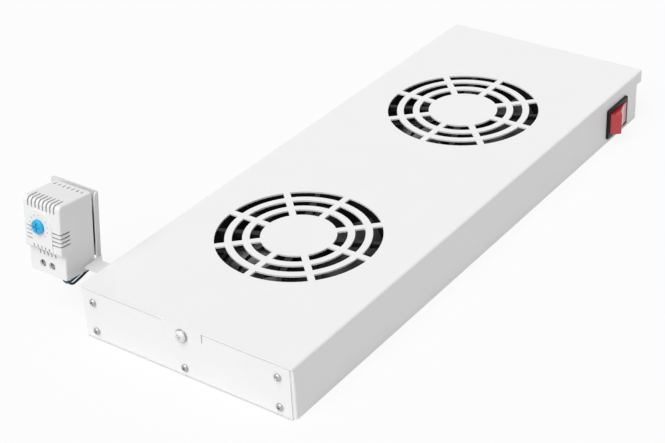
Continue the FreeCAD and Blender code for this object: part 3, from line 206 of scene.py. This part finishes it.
# ---------------------------------------------------------------- materials
def make_materials():
    """Every finish by its name: colour, roughness, grain, height and what else it needs."""
    made = {}

    def finish(name, *look, **more):
        made[name] = finish_material(name, *look, **more)

    finish("white_enamel", (0.866, 0.866, 0.869), 0.42, 0.0011, 0.000012, darker=0.99)
    # the bracket's finish is the white enamel painted darker: painted shade
    finish("shaded_bracket_enamel", (0.74, 0.74, 0.745), 0.45, 0.0011, 0.000012, darker=0.98)
    finish("bright_zinc", (0.80, 0.80, 0.80), 0.38, 0.0006, 0.000006,
           metallic=0.6, patch=0.004, darker=0.92)
    finish("dull_zinc", (0.42, 0.42, 0.43), 0.6, 0.0005, 0.000006,
           patch=0.003, darker=0.9, shine=0.3)
    finish("zinc_steel", (0.50, 0.51, 0.52), 0.32, 0.0006, 0.000008,
           metallic=1.0, patch=0.004, darker=0.85)
    finish("fan_plastic", (0.006, 0.006, 0.006), 0.55, 0.0007, 0.00002, darker=0.8, shine=0.25)
    finish("impeller_plastic", (0.026, 0.026, 0.027), 0.38, 0.0009, 0.00001, darker=0.8)
    finish("ground_steel", (0.70, 0.71, 0.72), 0.22, 0.0005, 0.000005,
           metallic=1.0, patch=0.005, darker=0.9)
    finish("magnet", (0.06, 0.055, 0.05), 0.6, 0.0005, 0.00002)
    finish("stator_coils", (0.42, 0.17, 0.07), 0.35, 0.0004, 0.00003,
           metallic=0.8, stretch=(1.0, 1.0, 3.0))
    finish("circuit_board", (0.02, 0.16, 0.06), 0.35, 0.002, 0.00001, darker=0.7)
    finish("guard_wire", (0.010, 0.010, 0.010), 0.50, 0.001, 0.00001,
           patch=0.01, darker=0.8, shine=0.3)
    finish("switch_black", (0.006, 0.006, 0.006), 0.42, 0.0005, 0.00001, darker=0.8, shine=0.25)
    finish("rocker_red", (0.50, 0.012, 0.020), 0.12, 0.002, 0.000004,
           patch=0.008, darker=0.9, coat=0.6)
    finish("tinned_brass", (0.72, 0.66, 0.48), 0.3, 0.0005, 0.000008,
           metallic=1.0, patch=0.004, darker=0.9)
    finish("thermostat_grey", (0.83, 0.83, 0.833), 0.5, 0.0005, 0.00002, patch=0.02, darker=0.985)
    finish("dial_blue", (0.006, 0.43, 0.76), 0.35, 0.0006, 0.00001, patch=0.004, darker=0.9)
    finish("bimetal", (0.55, 0.5, 0.42), 0.35, 0.0008, 0.000008,
           metallic=1.0, stretch=(8.0, 1.0, 1.0))
    finish("rubber_black", (0.02, 0.02, 0.02), 0.7, 0.0004, 0.00002)
    finish("terminal_plastic", (0.84, 0.83, 0.80), 0.45, 0.0006, 0.00001)
    finish("wire_black", (0.015, 0.015, 0.016), 0.4, 0.0009, 0.00001)
    finish("wire_blue", (0.008, 0.16, 0.30), 0.4, 0.0009, 0.00001)
    return made


def dress_frame(made):
    """Gives every CAD node the finish that its slot names, or one of its own."""
    # the bracket takes the darker copy of the white enamel, which is painted shade
    own = {"mounting_bracket": "shaded_bracket_enamel", "thermostat_terminal_screws": "dull_zinc"}
    for part in frame["record"]["subparts"]:
        data = frame["nodes"][part["node"]].data
        slot = own.get(part["node"], part["material_slot"])
        data.materials.clear()
        data.materials.append(made[slot])


def flat_print(name, colour):
    """Ink on the thermostat's pad."""
    return finish_material(name, colour, 0.55, 0.0005, 0.000005, patch=0.002)


# ---------------------------------------------------------------- mesh helpers
def new_object(name, mesh, material):
    piece = bpy.data.objects.new(name, mesh)
    bpy.context.scene.collection.objects.link(piece)
    mesh.materials.append(material)
    return piece


def mesh_of(shape, name):
    """A mesh from a bmesh, which is freed."""
    mesh = bpy.data.meshes.new(name)
    shape.to_mesh(mesh)
    shape.free()
    return mesh


def lathe(profile):
    """Closed body of revolution about +Z from (radius, height) points, axis to axis."""
    shape = bmesh.new()
    verts = [shape.verts.new((radius, 0.0, height)) for radius, height in profile]
    edges = [shape.edges.new(pair) for pair in zip(verts, verts[1:])]
    bmesh.ops.spin(shape, geom=verts + edges, cent=(0, 0, 0), axis=(0, 0, 1),
                   angle=math.tau, steps=LATHE_STEPS, use_duplicate=False)
    bmesh.ops.remove_doubles(shape, verts=shape.verts, dist=1e-6)
    bmesh.ops.recalc_face_normals(shape, faces=shape.faces)
    return shape


def cut_cross(mesh, radius, top, width, depth):
    """The mesh, which stands along +Z up to z = top, with a tapered cross recess cut into it."""
    floor_share = 0.45      # of the recess's width at its mouth
    over = 0.2              # share of the depth that the cutter stands above the top
    tool = bmesh.new()
    for turn in (0.0, math.pi / 2):
        bar = bmesh.ops.create_cube(tool, size=1.0)["verts"]
        spin = Matrix.Rotation(turn, 4, "Z")
        for vert in bar:
            upper = vert.co.z > 0
            taper = 1.0 if upper else floor_share
            vert.co = spin @ Vector((vert.co.x * 2 * radius * taper, vert.co.y * width,
                                     top + (over if upper else -1.0) * depth))
    bars = mesh_of(tool, "cutter")
    cutter = bpy.data.objects.new("cutter", bars)
    body = bpy.data.objects.new("body", mesh)
    for piece in (cutter, body):
        bpy.context.scene.collection.objects.link(piece)
    cut = body.modifiers.new("recess", "BOOLEAN")
    cut.operation = "DIFFERENCE"
    cut.solver = "EXACT"
    cut.use_self = True
    cut.object = cutter
    bpy.context.view_layer.update()
    graph = bpy.context.evaluated_depsgraph_get()
    result = bpy.data.meshes.new_from_object(body.evaluated_get(graph))
    bpy.data.objects.remove(body)
    bpy.data.objects.remove(cutter)
    bpy.data.meshes.remove(bars)
    return result


def shade_smooth(mesh):
    """Smooth shading with the sharp edges kept."""
    shape = bmesh.new()
    shape.from_mesh(mesh)
    limit = math.radians(SHARP_EDGE)
    for face in shape.faces:
        face.smooth = True
    for edge in shape.edges:
        edge.smooth = len(edge.link_faces) == 2 and edge.calc_face_angle() < limit
    shape.to_mesh(mesh)
    shape.free()


def screw_mesh(head_radius, head_height, shank_radius, length):
    """Pan-head screw along +Z: domed head with a cross recess, seat at z = 0, threaded shank.

    The bare numbers are shares of the head, the shank or the thread's pitch.
    """
    rim = 0.40 * head_height
    profile = [(0.0, head_height)]
    for i in range(1, CROWN_STEPS + 1):
        angle = (math.pi / 2) * i / CROWN_STEPS
        profile.append((head_radius * math.sin(angle), rim + (head_height - rim) * math.cos(angle)))
    profile += [(head_radius, 0.15 * rim), (head_radius * 0.97, 0.0), (shank_radius, 0.0)]
    for i in range(int(length / THREAD_PITCH)):
        z = -0.2 * THREAD_PITCH - i * THREAD_PITCH
        profile += [(shank_radius, z), (shank_radius * 0.86, z - THREAD_PITCH * 0.45)]
    profile += [(shank_radius * 0.8, -length), (0.0, -length)]
    mesh = mesh_of(lathe(profile), "screw")
    return cut_cross(mesh, head_radius * 0.60, head_height, head_radius * 0.24,
                     head_height * 0.60)


def place_screws(name, source, places, axis, material, node):
    """One piece in place of a node: a copy of the screw at each place, its head towards axis."""
    turn = Vector((0, 0, 1)).rotation_difference(axis).to_matrix().to_4x4()
    shape = bmesh.new()
    for i, place in enumerate(places):
        own = Matrix.Rotation(math.radians(FIRST_TURN + NEXT_TURN * i), 4, "Z")
        copy = source.copy()
        copy.transform(Matrix.Translation(place) @ turn @ own)
        shape.from_mesh(copy)
        bpy.data.meshes.remove(copy)
    bpy.data.meshes.remove(source)
    mesh = mesh_of(shape, name)
    piece = new_object(name, mesh, material)
    shade_smooth(mesh)
    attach(piece, "tray")
    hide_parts(node)


def corners(node):
    """The low and high corners of a node's box."""
    return [Vector(corner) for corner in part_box(node)]


# ---------------------------------------------------------------- fixings
def panel_screws(made):
    """Five screws in each end panel: four at its corners and one low in the middle."""
    for end, side in (("near", -1), ("far", 1)):
        node = end + "_panel_screws"
        low, high = corners(node)
        face = (low.y + SCREW_HEAD_HEIGHT) if side < 0 else (high.y - SCREW_HEAD_HEIGHT)
        reach = high.x - SCREW_HEAD_RADIUS
        top = high.z - SCREW_HEAD_RADIUS
        foot = low.z + SCREW_HEAD_RADIUS
        places = [Vector((x, face, z)) for x in (-reach, reach) for z in (CORNER_SCREW_LOW, top)]
        places.append(Vector((0.0, face, foot)))
        screw = screw_mesh(SCREW_HEAD_RADIUS, SCREW_HEAD_HEIGHT, SCREW_SHANK_RADIUS, SCREW_LENGTH)
        place_screws(end + "_panel_screw_heads", screw, places, Vector((0, side, 0)),
                     made["zinc_steel"], node)


def tab_screw(made):
    """The larger screw that holds the cover's bent tab."""
    low, high = corners("tab_screw")
    centre = (low + high) / 2
    seat = Vector((centre.x, low.y + TAB_HEAD_HEIGHT, centre.z))
    screw = screw_mesh(TAB_HEAD_RADIUS, TAB_HEAD_HEIGHT, TAB_SHANK_RADIUS, TAB_SCREW_LENGTH)
    place_screws("tab_screw_head", screw, [seat], Vector((0, -1, 0)), made["bright_zinc"],
                 "tab_screw")


def bracket_screws(made):
    """Two screws through the bracket's leg into the tray's side."""
    low, high = corners("bracket_screws")
    seat_x = low.x + SCREW_HEAD_HEIGHT
    middle_y = (low.y + high.y) / 2
    places = [Vector((seat_x, middle_y, z))
              for z in (low.z + SCREW_HEAD_RADIUS, high.z - SCREW_HEAD_RADIUS)]
    screw = screw_mesh(SCREW_HEAD_RADIUS, SCREW_HEAD_HEIGHT, SCREW_SHANK_RADIUS,
                       SCREW_LENGTH + SHEET)
    place_screws("bracket_screw_heads", screw, places, Vector((-1, 0, 0)), made["zinc_steel"],
                 "bracket_screws")


# ---------------------------------------------------------------- thermostat details
def dial_scale():
    """Round printed dots about the dial, plain colours in place of the scale's figures."""
    lean = (Matrix.Translation(LEAN_ABOUT) @ Matrix.Rotation(LEAN, 4, "X")
            @ Matrix.Translation(-LEAN_ABOUT))
    facing = Matrix.Rotation(math.pi / 2, 4, "X")
    prints = {name: flat_print(name, colour) for name, colour in SCALE_COLOURS.items()}
    for name, material in prints.items():
        shape = bmesh.new()
        for i, wanted in enumerate(SCALE_ORDER):
            if wanted != name:
                continue
            angle = math.radians(90.0 + SCALE_STEP * (i - (len(SCALE_ORDER) - 1) / 2))
            place = DIAL_PLACE + Vector((-SCALE_RADIUS * math.cos(angle), -SCALE_DOT_OUT,
                                         SCALE_RADIUS * math.sin(angle)))
            bmesh.ops.create_cone(shape, cap_ends=True, segments=20, radius1=SCALE_DOT,
                                  radius2=SCALE_DOT, depth=SCALE_DOT_DEPTH,
                                  matrix=lean @ Matrix.Translation(place) @ facing)
        piece = new_object("dial_" + name, mesh_of(shape, name), material)
        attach(piece, "tray")


# ---------------------------------------------------------------- wires
def wire(name, node, points, material):
    """Insulated wire in place of its node, on one smooth line along points in millimetres."""
    curve = bpy.data.curves.new(name, "CURVE")
    curve.dimensions = "3D"
    line = curve.splines.new("NURBS")
    line.points.add(len(points) - 1)
    for point, place in zip(line.points, points):
        point.co = [value * MM for value in place] + [1.0]
    line.order_u = 3
    line.use_endpoint_u = True
    line.resolution_u = 12
    curve.bevel_depth = WIRE / 2
    curve.bevel_resolution = 6
    curve.use_fill_caps = True
    curve.materials.append(material)
    piece = bpy.data.objects.new(name, curve)
    bpy.context.scene.collection.objects.link(piece)
    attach(piece, "tray")
    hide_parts(node)


def thermostat_wires(made):
    """The thermostat's two wires, on the same points as the solid ones."""
    black = [(-107.5, -218.63, 35.47), (-107.5, -217.63, 23.0), (-107.9, -204.8, 24.2),
             (-108.5, -195.8, 26.2), (-105.1, -186.1, 23.3), (-72.0, -186.1, 23.3),
             (-69.9, -179.1, 8.2), (-69.9, -158.0, 8.2)]
    blue = [(-111.5, -218.63, 35.47), (-111.5, -217.63, 22.6), (-111.9, -204.8, 23.4),
            (-112.5, -195.8, 24.4), (-109.1, -186.1, 20.6), (-76.5, -186.1, 20.6),
            (-73.9, -179.1, 8.2), (-73.9, -158.0, 8.2)]
    wire("black_wire", "thermostat_wire_black", black, made["wire_black"])
    wire("blue_wire", "thermostat_wire_blue", blue, made["wire_blue"])


# ---------------------------------------------------------------- stage
def emptied_tree(owner):
    """The node tree of a world or a material, with no nodes left in it."""
    owner.use_nodes = True
    owner.node_tree.nodes.clear()
    return owner.node_tree.nodes, owner.node_tree.links


def math_node(nodes, links, operation, first, second):
    """A math node on two sockets, or on a socket and a number."""
    node = nodes.new("ShaderNodeMath")
    node.operation = operation
    links.new(first, node.inputs[0])
    if isinstance(second, float):
        node.inputs[1].default_value = second
    else:
        links.new(second, node.inputs[1])
    return node.outputs[0]


def looked_at(nodes, links):
    """1 where the camera, a reflection or a view through glass looks at a surface, else 0."""
    path = nodes.new("ShaderNodeLightPath").outputs
    seen = math_node(nodes, links, "MAXIMUM", path["Is Camera Ray"], path["Is Glossy Ray"])
    return math_node(nodes, links, "MAXIMUM", seen, path["Is Transmission Ray"])


def colour_node(nodes, kind, colour, strength=None):
    """A background, a glow or a matte surface of one colour."""
    node = nodes.new(kind)
    node.inputs["Color"].default_value = colour
    if strength is not None:
        node.inputs["Strength"].default_value = strength
    return node.outputs[0]


def mix_out(nodes, links, kind, factor, first, second):
    """Sends first, or second where the factor is 1, to a new output node."""
    mix = nodes.new("ShaderNodeMixShader")
    links.new(factor, mix.inputs[0])
    links.new(first, mix.inputs[1])
    links.new(second, mix.inputs[2])
    links.new(mix.outputs[0], nodes.new(kind).inputs["Surface"])


def make_world():
    """White to look at, and a dimmer white as light."""
    world = bpy.data.worlds.new("studio")
    bpy.context.scene.world = world
    nodes, links = emptied_tree(world)
    light = colour_node(nodes, "ShaderNodeBackground", WHITE, AMBIENT)
    seen = colour_node(nodes, "ShaderNodeBackground", WHITE, 1.0)
    mix_out(nodes, links, "ShaderNodeOutputWorld", looked_at(nodes, links), light, seen)


def flat_sheet(name, low, high, z, material):
    """A level stage sheet at height z between two corners, each an x and a y."""
    mesh = bpy.data.meshes.new(name)
    mesh.from_pydata([(low[0], low[1], 0), (high[0], low[1], 0), (high[0], high[1], 0),
                      (low[0], high[1], 0)], [], [(0, 1, 2, 3)])
    sheet = new_object(name, mesh, material)
    sheet.location.z = z


def floor_material():
    """Matte for light and shadow, with a white glow laid over it where it is looked at."""
    material = bpy.data.materials.new("floor_white")
    nodes, links = emptied_tree(material)
    matte = colour_node(nodes, "ShaderNodeBsdfDiffuse", FLOOR_COLOUR)
    glow = colour_node(nodes, "ShaderNodeEmission", WHITE, 1.0)
    share = math_node(nodes, links, "MULTIPLY", looked_at(nodes, links), FLOOR_GLOW)
    mix_out(nodes, links, "ShaderNodeOutputMaterial", share, matte, glow)
    return material


def painted_shadow_material():
    """Plain matte without the floor's white glow: painted shadow, so that the floor seen through
    the fans stays dark.
    """
    material, shader = new_material("painted_shadow_floor")
    shader.inputs["Base Color"].default_value = FLOOR_COLOUR
    shader.inputs["Roughness"].default_value = PAINTED_SHADOW_ROUGHNESS
    return material


def make_floor():
    """A wide floor, and a glowless sheet under the tray: painted shadow, a thin line at its near
    end.
    """
    ground = cad_box[0][2] - FLOOR_DROP
    flat_sheet("floor", (-FLOOR_HALF, -FLOOR_HALF), (FLOOR_HALF, FLOOR_HALF), ground,
               floor_material())
    near_low, near_high = corners("near_end_panel")
    far = corners("base_plate")[1].y
    # painted contact shadow: this sheet lacks the floor's glow, so it reads darker just past the
    # near end
    flat_sheet("painted_contact_shadow_sheet", (near_low.x, near_low.y - PAINTED_SHADOW_REACH), (near_high.x, far),
               ground + PAINTED_SHADOW_RISE, painted_shadow_material())


def make_light():
    """One wide soft sun from above the near end."""
    lamp = bpy.data.lights.new("soft_light", "SUN")
    lamp.energy = SOFT_LIGHT_STRENGTH
    lamp.angle = math.radians(SOFT_LIGHT_ANGLE)
    holder = bpy.data.objects.new("soft_light", lamp)
    holder.rotation_euler = (-SOFT_LIGHT_FROM).to_track_quat("-Z", "Y").to_euler()
    bpy.context.scene.collection.objects.link(holder)


def make_camera():
    data = bpy.data.cameras.new("camera")
    data.sensor_width = CAMERA_SENSOR
    data.lens = CAMERA_LENS
    data.clip_start, data.clip_end = CAMERA_REACH
    camera = bpy.data.objects.new("camera", data)
    look = (CAMERA_AIM - CAMERA_PLACE).to_track_quat("-Z", "Y")
    camera.matrix_world = (Matrix.Translation(CAMERA_PLACE)
                           @ (look @ Quaternion((0, 0, 1), CAMERA_ROLL)).to_matrix().to_4x4())
    bpy.context.scene.collection.objects.link(camera)
    bpy.context.scene.camera = camera


# ---------------------------------------------------------------- build the scene
bpy.context.scene.view_settings.view_transform = "Standard"
materials = make_materials()
dress_frame(materials)
panel_screws(materials)
tab_screw(materials)
bracket_screws(materials)
dial_scale()
thermostat_wires(materials)
make_world()
make_floor()
make_light()
make_camera()
